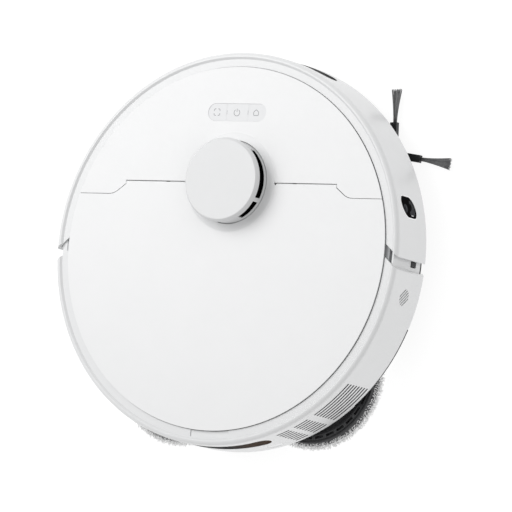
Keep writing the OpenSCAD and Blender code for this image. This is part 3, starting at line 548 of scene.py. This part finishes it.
def add_mop_pad(side, seed):
    """Round looped pad: backing, a fringe of loops all round its edge, and a pile of loops under it."""
    rnd = random.Random(seed)
    node = "mop_pad_" + side
    low_corner, high_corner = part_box(node)
    radius = (high_corner.x - low_corner.x) / 2
    reach = radius + FRINGE_REACH * MM
    centre = Vector(((low_corner.x + high_corner.x) / 2, (low_corner.y + high_corner.y) / 2, 0))
    low, high = low_corner.z / MM, high_corner.z / MM
    skin = Skin()
    pad_backing(skin, centre, radius - 1.4 * MM, low, high, rnd)
    backing = skin.build("mop_backing_" + side, "felt_grey")
    place(backing, "mop_" + side, "mop_cloth")
    skin = Skin()
    # the fringe: rows from the top of the edge down to its bottom
    for inset, drop, tilt, tall, count in FRINGE_ROWS:
        for i in range(count):
            turn = 2 * math.pi * (i + rnd.uniform(-0.45, 0.45)) / count
            up = math.radians(tilt + rnd.uniform(-22, 22))
            out = Vector((math.cos(turn) * math.cos(up), math.sin(turn) * math.cos(up), math.sin(up)))
            height = tall * rnd.uniform(0.65, 1.25) * MM
            root_r = radius - (inset + rnd.uniform(0, 0.8)) * MM
            root_r = min(root_r, reach - height * math.cos(up) - 0.3 * MM)
            z = (high - drop - rnd.uniform(0, 0.8)) * MM
            root = centre + Vector((root_r * math.cos(turn), root_r * math.sin(turn), z))
            lean = Vector((-math.sin(turn), math.cos(turn), -0.3)) * rnd.uniform(-1.0, 1.0) * MM
            pile_loop(skin, root, out, lean, height, rnd.uniform(1.0, 2.0) * MM,
                      rnd.uniform(0.28, 0.38) * MM, rnd)
    # the pile on the underside
    pile_r = radius * 0.965
    for i in range(PILE_LOOPS):
        share = math.sqrt((i + 0.5) / PILE_LOOPS)
        turn = i * PILE_TURN
        root = centre + Vector((pile_r * share * math.cos(turn), pile_r * share * math.sin(turn),
                                (low + 1.9) * MM))
        root += Vector((rnd.uniform(-0.6, 0.6), rnd.uniform(-0.6, 0.6), 0)) * MM
        lean = Vector((rnd.uniform(-1, 1), rnd.uniform(-1, 1), 0)) * 0.7 * MM
        pile_loop(skin, root, Vector((0, 0, -1)), lean, rnd.uniform(1.0, 1.5) * MM,
                  rnd.uniform(1.4, 2.2) * MM, rnd.uniform(0.32, 0.44) * MM, rnd)
    pad = skin.build("mop_pile_" + side, "mop_cloth")
    place(pad, "mop_" + side, "mop_cloth", node)


# ---- brushes ----

TUFT_ANGLES = (-7.5, 93, 222.75)      # degrees about the side brush's axis
CLAMP_END = 27.8 * MM
TUFT_END = 59.2 * MM
TUFT_BRISTLES = 110
VANE_ROWS = 6
ROW_BRISTLES = 84
VANE_TWIST = 100                      # degrees from one end of the main brush to the other


def add_side_brush_bristles():
    """Three fans of fine bristles, pinched at their clamps and drooping a little to the tips."""
    rnd = random.Random(5)
    hub = Vector(joints["side_brush_spin"]["pos_m"])
    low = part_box("side_brush_tufts")[0].z
    skin = Skin()
    for angle in TUFT_ANGLES:
        turn = math.radians(angle)
        ahead = Vector((math.cos(turn), math.sin(turn), 0))
        side = Vector((-math.sin(turn), math.cos(turn), 0))
        for i in range(TUFT_BRISTLES):
            share = -1 + 2 * (i + 0.5) / TUFT_BRISTLES + rnd.uniform(-0.05, 0.05)
            level = low + rnd.uniform(1.0, 2.6) * MM
            start = Vector((hub.x, hub.y, level)) + ahead * CLAMP_END + side * share * 1.4 * MM
            long = (TUFT_END - CLAMP_END) * rnd.uniform(0.93, 1.0)
            path = []
            for k in range(6):
                t = k / 5
                spread_mm = share * 3.8 * t ** 1.6
                droop = -0.9 * MM * t * t
                path.append(start + ahead * long * t + side * spread_mm * MM + Vector((0, 0, droop)))
            skin.tube(path, [0.2 * MM] * 5 + [0.12 * MM], Vector((0, 0, 1)), 4)
    bristles = skin.build("side_brush_bristles", "bristle")
    place(bristles, "side_brush", "bristle", "side_brush_tufts")


def add_main_brush_bristles():
    """Rows of short bristles that follow the twist of the vanes, between them."""
    rnd = random.Random(8)
    low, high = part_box("brush_vanes")
    axis = Vector(joints["main_brush_spin"]["pos_m"])
    start, span = low.x, high.x - low.x
    skin = Skin()
    for row in range(VANE_ROWS):
        for i in range(ROW_BRISTLES):
            t = (i + 0.5) / ROW_BRISTLES
            turn = math.radians(360 / VANE_ROWS * (row + 0.5) - VANE_TWIST * t) + rnd.uniform(-0.04, 0.04)
            out = Vector((0, math.sin(turn), math.cos(turn)))
            root = Vector((start + span * t, axis.y, axis.z)) + out * 10.4 * MM
            tip = out * rnd.uniform(6.4, 7.4) * MM + Vector((rnd.uniform(-0.5, 0.5) * MM, 0, 0))
            path = [root, root + tip * 0.5, root + tip]
            skin.tube(path, [0.42 * MM, 0.42 * MM, 0.2 * MM], out.cross(Vector((1, 0, 0))).normalized(), 4)
    place(skin.build("main_brush_bristles", "bristle"), "main_brush", "bristle")


# ---- marks on the keys ----

def arc(centre, radius, start, end, steps=16):
    turns = [math.radians(start + (end - start) * k / steps) for k in range(steps + 1)]
    return [(centre[0] + radius * math.cos(t), centre[1] + radius * math.sin(t)) for t in turns]


def rounded_outline(corners, radius, steps=5):
    """Closed outline through corners, each cut to a curve that starts radius away from it."""
    points = []
    count = len(corners)
    for k in range(count):
        here = Vector(corners[k])
        before = here + (Vector(corners[k - 1]) - here).normalized() * radius
        after = here + (Vector(corners[(k + 1) % count]) - here).normalized() * radius
        for s in range(steps + 1):
            t = s / steps
            points.append(tuple(before * (1 - t) ** 2 + here * 2 * t * (1 - t) + after * t * t))
    return points


MARK_LINE = 0.62 * MM
TICK_LINE = 0.34 * MM


def add_key_marks():
    line = MARK_LINE
    low, high = KEY_TOP - 0.05 * MM, KEY_TOP + 0.05 * MM
    keys = {name: (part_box(name)[0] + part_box(name)[1]) / 2 for name in ("power_key", "spot_key", "home_key")}
    # power: a ring open at the top, with a stem, between two short ticks at the key's ends
    skin = Skin()
    x, y = keys["power_key"].x - 0.6 * MM, PILL_Y
    skin.stroke(arc((x, y - 0.2 * MM), 2.9 * MM, 122, 418, 28), line, low, high)
    skin.stroke([(x, y + 0.4 * MM), (x, y + 3.4 * MM)], line, low, high)
    for end in (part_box("power_key")[0].x + 0.35 * MM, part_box("power_key")[1].x - 0.35 * MM):
        skin.stroke([(end, y - 1.8 * MM), (end, y + 1.8 * MM)], TICK_LINE, low, high - 0.02 * MM)
    place(skin.build("power_mark", "icon_grey", False), "power_key", "key_grey")
    # spot clean: four rounded corner brackets
    skin = Skin()
    x = keys["spot_key"].x - 0.6 * MM
    half, curve = 2.9 * MM, 1.1 * MM
    bend = arc((half - curve, half - curve), curve, 0, 90, 8)
    bracket = [(half, half - 1.9 * MM), *bend, (half - 1.9 * MM, half)]
    for sx in (-1, 1):
        for sy in (-1, 1):
            skin.stroke([(x + sx * u, y + sy * v) for u, v in bracket], line, low, high)
    place(skin.build("spot_mark", "icon_grey", False), "spot_key", "key_grey")
    # home: a small house outline with rounded corners
    skin = Skin()
    x = keys["home_key"].x - 1.2 * MM
    house = [(x - 2.5 * MM, y - 2.5 * MM), (x + 2.5 * MM, y - 2.5 * MM), (x + 2.5 * MM, y + 0.6 * MM),
             (x, y + 2.7 * MM), (x - 2.5 * MM, y + 0.6 * MM)]
    skin.stroke(rounded_outline(house, 0.9 * MM), line, low, high, closed=True)
    place(skin.build("home_mark", "icon_grey", False), "home_key", "key_grey")


# ---- side window ----

def on_wall(angle, z, u, v, r):
    """Point on the side wall: u along it, v up from z, in millimetres, at radius r in millimetres."""
    turn = math.radians(angle) + u / (BODY_R / MM)
    return Vector((r * MM * math.cos(turn), r * MM * math.sin(turn), (z + v) * MM))


WINDOW_ANGLE = 14.2                   # degrees round the body
WINDOW_Z = DECK_Z / MM - 23
WINDOW_FACE = BODY_R / MM - 0.2


# Outlines in millimetres along and up the wall, and profiles as growth or radius with lift off the wall
LENS_CENTRE = (-1.8, 5.8)
LENS_PROFILE = ((3.9, -0.3), (3.9, 0.12), (3.5, 0.22), (3.1, 0.12), (2.9, 0.1), (2.1, 0.4), (1.0, 0.58),
                (0.3, 0.6))
PANEL_OUTLINE = ((6.5, -1.8), (6.3, -5), (3.8, -8.2), (1, -10.4), (-5.2, -10.6), (-6.8, -8), (-6.8, -1.8))
# painted glint: a light grey bar beside the receiver panel that stands for a glint on the glass
GLINT_OUTLINE = ((-7.5, -3.6), (-6.6, -3.6), (-6.6, -7.4), (-7.5, -7.4))
BEAD_PROFILE = ((0.05, 0.15), (0.12, 0.4), (0.45, 0.5), (0.8, 0.4), (1.0, 0.15), (0.95, -0.2), (0.1, -0.2))


def window_ring(outline, lift):
    return [on_wall(WINDOW_ANGLE, WINDOW_Z, u, v, WINDOW_FACE + lift) for u, v in outline]


def leaf_outline(grow, steps=14):
    """The window's edge: two arcs that meet in a tight point at the front and top, blunt at the other."""
    centre, radius = Vector((-5.5, 3.2)), 16 + grow
    half_w, half_h = 9.4 + grow, 12.9 + grow
    first, last = math.radians(31), math.radians(-88)
    side = [centre + radius * Vector((math.cos(first + (last - first) * k / steps),
                                      math.sin(first + (last - first) * k / steps)))
            for k in range(steps + 1)]
    side = [(min(p.x, half_w), max(p.y, -half_h)) for p in side]
    return side + [(-u, -v) for u, v in side]


def add_side_window():
    """The lens and the receiver panel behind the leaf-shaped window, a light grey bar beside the panel that is
    a painted glint, and the bead round the window, whose trim has a painted glow.
    """
    skin = Skin()
    rings = []
    for r_mm, lift in LENS_PROFILE:
        turns = [2 * math.pi * i / 40 for i in range(40)]
        circle = [(LENS_CENTRE[0] + r_mm * math.cos(t), LENS_CENTRE[1] + r_mm * math.sin(t)) for t in turns]
        rings.append(window_ring(circle, lift))
    skin.loft(rings)
    place(skin.build("side_window_lens", "lens_glass"), "bumper", "black_window")
    skin = Skin()
    panel = rounded_outline(PANEL_OUTLINE, 0.9)
    skin.loft([window_ring(panel, -0.3), window_ring(panel, 0.08)])
    place(skin.build("side_window_sensor", "sensor_grey", False), "bumper", "black_window")
    # painted glint: a light grey bar beside the receiver panel, in place of a glint on the glass
    skin = Skin()
    glint_outline = rounded_outline(GLINT_OUTLINE, 0.3)
    skin.loft([window_ring(glint_outline, -0.3), window_ring(glint_outline, 0.12)])
    place(skin.build("side_window_painted_glint", "frame_grey", False), "bumper", "black_window")
    skin = Skin()
    skin.loft([window_ring(leaf_outline(grow), lift) for grow, lift in BEAD_PROFILE], round_trip=True)
    place(skin.build("side_window_bead", "trim_white"), "bumper", "shell_white")


# ---- exhaust screens ----

VENT_GROUPS = ((-55.4, -41.3), (-62.8, -57.8), (-68.8, -64.5))      # degrees round the body
VENT_LOW = DECK_Z / MM - 44.7         # middle of the lowest slit, in millimetres
VENT_PITCH = 4.74
VENT_SLITS = 8
SLIT_HALF = 1.04                      # half the height of what fills a slit
RIB_PITCH = 1.2                       # degrees


def wall_block(skin, first, last, low, high, r_in, r_out):
    """Curved block between two angles in degrees, with heights and radii in millimetres."""
    steps = max(2, round((last - first) / 1.5))
    rings = []
    for k in range(steps + 1):
        turn = math.radians(first + (last - first) * k / steps)
        rings.append([Vector((r * MM * math.cos(turn), r * MM * math.sin(turn), z * MM))
                      for r, z in ((r_in, low), (r_out, low), (r_out, high), (r_in, high))])
    skin.loft(rings)


def add_exhaust_screens():
    """Dark screens behind the exhaust vents, with a rib in every slit and a grid behind them."""
    skin = Skin()
    top = VENT_LOW + (VENT_SLITS - 1) * VENT_PITCH
    for first, last in VENT_GROUPS:
        wall_block(skin, first - 0.5, last + 0.5, VENT_LOW - 2, top + 2, 170.3, 170.9)
        for i in range(VENT_SLITS):
            mid = VENT_LOW + i * VENT_PITCH
            wall_block(skin, first + 0.04, last - 0.04, mid - SLIT_HALF, mid + SLIT_HALF, 170.8, 174.9)
        ribs = round((last - first) / RIB_PITCH)
        for k in range(ribs + 1):
            turn = first + (last - first) * k / ribs
            wall_block(skin, turn - 0.12, turn + 0.12, VENT_LOW - 1.5, top + 1.5, 169.6, 170.4)
    place(skin.build("exhaust_screens", "screen_grey", False), BASE_BODY, "dark_part")


# ---- bumper springs ----

WIRE_ROOM = 0.45 * MM                 # from the box of the springs to the middle of their wire
COIL_TURNS = 3
TURN_STEPS = 24


def add_bumper_springs():
    """Two coils behind the bumper, which ride on the bumper's body."""
    low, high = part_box("bumper_springs")
    coil_r, wire = (high.z - low.z) / 2 - WIRE_ROOM, 0.4 * MM
    first, last = low.y + WIRE_ROOM, high.y - WIRE_ROOM
    steps = COIL_TURNS * TURN_STEPS
    skin = Skin()
    for x in (low.x + coil_r + WIRE_ROOM, high.x - coil_r - WIRE_ROOM):
        path = []
        for k in range(steps + 1):
            turn = 2 * math.pi * k / TURN_STEPS
            path.append(Vector((x + coil_r * math.cos(turn), first + (last - first) * k / steps,
                                (low.z + high.z) / 2 + coil_r * math.sin(turn))))
        skin.tube(path, [wire] * len(path), Vector((0, 1, 0)), 8)
    springs = place(skin.build("bumper_spring_coils", "steel"), "bumper", "steel", "bumper_springs")
    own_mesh(springs)


# ---- lips round the turret's collar ----

LIP_STEPS = 60


def add_collar_lips():
    """Thin lips of the front panel and of the lid, which close the gap to the turret's collar."""
    low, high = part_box("turret_collar")
    centre = Vector(((low.x + high.x) / 2, (low.y + high.y) / 2, 0))
    r_in, r_out = (high.x - low.x) / 2 - 0.25 * MM, (high.x - low.x) / 2 + 0.7 * MM
    for name, body, first, last in (("panel_lip", BASE_BODY, 1.0, 179.0),
                                    ("lid_lip", nodes["lid"]["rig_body"], 181.2, 358.8)):
        skin = Skin()
        rings = []
        for k in range(LIP_STEPS + 1):
            turn = math.radians(first + (last - first) * k / LIP_STEPS)
            out = Vector((math.cos(turn), math.sin(turn), 0))
            rings.append([centre + out * r + Vector((0, 0, DECK_Z + lift * MM))
                          for r, lift in ((r_in, 0.02), (r_in, 0.1), (r_out, 0.05), (r_out, -0.3))])
        skin.loft(rings)
        place(skin.build(name, "panel_white", False), body, "panel_white")


# ---- making ----

MATERIALS = make_materials()
add_camera()
add_studio()
paint_frame()
for shell, width in SOFT_EDGES.items():
    soften(shell, width)
add_mop_pad("right", 11)
add_mop_pad("left", 12)
add_side_brush_bristles()
add_main_brush_bristles()
add_key_marks()
add_side_window()
add_exhaust_screens()
add_bumper_springs()
add_collar_lips()
